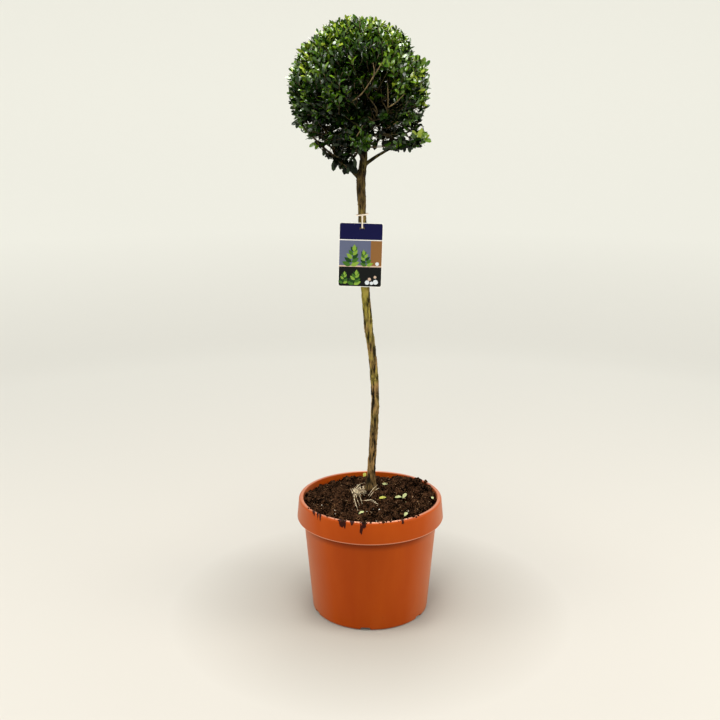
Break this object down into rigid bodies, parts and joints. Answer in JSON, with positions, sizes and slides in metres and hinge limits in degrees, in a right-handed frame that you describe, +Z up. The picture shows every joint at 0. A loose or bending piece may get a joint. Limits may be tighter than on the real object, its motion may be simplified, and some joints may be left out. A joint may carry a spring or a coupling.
{
  "type": "standard lollipop topiary in a plastic pot",
  "caption": "Evergreen shrub clipped to a ball on a bare stem, standing in a filled round plastic pot with a deep collar, with a plain hanging label.",
  "frame": {"origin": "middle of the pot's flat underside, on the surface that it stands on", "axes": "+Z up along the pot's axis, -Y towards the side that the label hangs on, +X to the right seen from there"},
  "size_m": [0.2801, 0.2737, 1.0823],
  "materials": {
    "pot": "satin moulded terracotta-coloured plastic",
    "soil": "moist dark peat with bark chips",
    "bark": "thin smooth bark with green algae",
    "foliage": "small glossy evergreen leaves",
    "strap": "thin white plastic strip",
    "label": null
  },
  "bodies": {
    "root": {"pot": "pot", "soil": "soil", "trunk": "bark", "bough_right": "bark", "bough_left": "bark", "bough_front": "bark", "bough_back": "bark", "foliage_ball": "foliage", "foliage_right": "foliage", "foliage_left": "foliage", "foliage_front": "foliage", "foliage_back": "foliage", "label_strap": "strap", "label_card": "label"}
  },
  "joints": []
}
